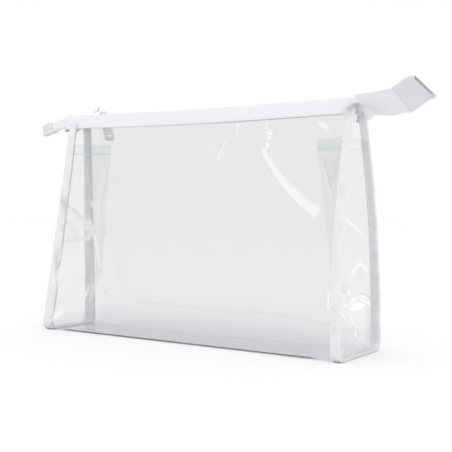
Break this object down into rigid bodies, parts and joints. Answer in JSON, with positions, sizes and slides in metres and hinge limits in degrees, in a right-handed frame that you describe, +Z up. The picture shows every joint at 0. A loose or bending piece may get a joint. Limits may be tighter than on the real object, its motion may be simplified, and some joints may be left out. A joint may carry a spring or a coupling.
{
  "type": "makeup bag",
  "caption": "Clear vinyl zip pouch with a wedge profile, folded side gussets, white seam binding, a top zip with slider and hanging pull, and a zip tail with a folded cap at each end.",
  "frame": {"origin": "centre of the flat base, on the surface that the pouch stands on", "axes": "+X along the zip towards the longer tail, +Y from the front panel to the back panel, +Z up"},
  "size_m": [0.2985, 0.058, 0.1656],
  "materials": {
    "clear_film": "glossy clear plasticised vinyl film",
    "hem_film": "glossy clear vinyl folded double",
    "white_binding": "milky white vinyl binding, satin",
    "zip_tape": "woven white polyester tape",
    "zip_coil": "white nylon monofilament coil",
    "thread": "white polyester sewing thread",
    "stop_metal": "crimped plain aluminium",
    "white_plastic": "moulded white plastic, semi-gloss"
  },
  "bodies": {
    "pouch": {"body_film": "clear_film", "gusset_left": "clear_film", "gusset_right": "clear_film", "gusset_hem_left": "hem_film", "gusset_hem_right": "hem_film", "side_binding_left": "white_binding", "side_binding_right": "white_binding", "zip_tape_front": "zip_tape", "zip_tape_back": "zip_tape", "zip_coil_front": "zip_coil", "zip_coil_back": "zip_coil", "zip_stitch_front": "thread", "zip_stitch_back": "thread", "zip_stop_left": "stop_metal", "zip_stop_right": "stop_metal"},
    "slider": {"slider_body": "white_plastic"},
    "pull": {"pull_tab": "white_plastic"},
    "tail_left": {"zip_tail_left": "zip_tape", "tail_cap_left": "white_binding"},
    "tail_right": {"zip_tail_right": "zip_tape", "tail_cap_right": "white_binding"}
  },
  "joints": [
    {"name": "slider_slide", "type": "slide", "parent": "pouch", "child": "slider", "axis": [1, 0, 0], "range_m": [-0.012, 0.189]},
    {"name": "pull_swing", "type": "hinge", "parent": "slider", "child": "pull", "pos_m": [-0.0885, 0, 0.1609], "axis": [1, 0, 0], "range_deg": [0, 208]},
    {"name": "tail_left_bend", "type": "hinge", "parent": "pouch", "child": "tail_left", "pos_m": [-0.1146, 0, 0.152], "axis": [0, -1, 0], "range_deg": [-50, 60], "stiffness_Nm_per_rad": 0.01},
    {"name": "tail_right_bend", "type": "hinge", "parent": "pouch", "child": "tail_right", "pos_m": [0.1146, 0, 0.1546], "axis": [0, 1, 0], "range_deg": [-70, 74], "stiffness_Nm_per_rad": 0.01}
  ]
}
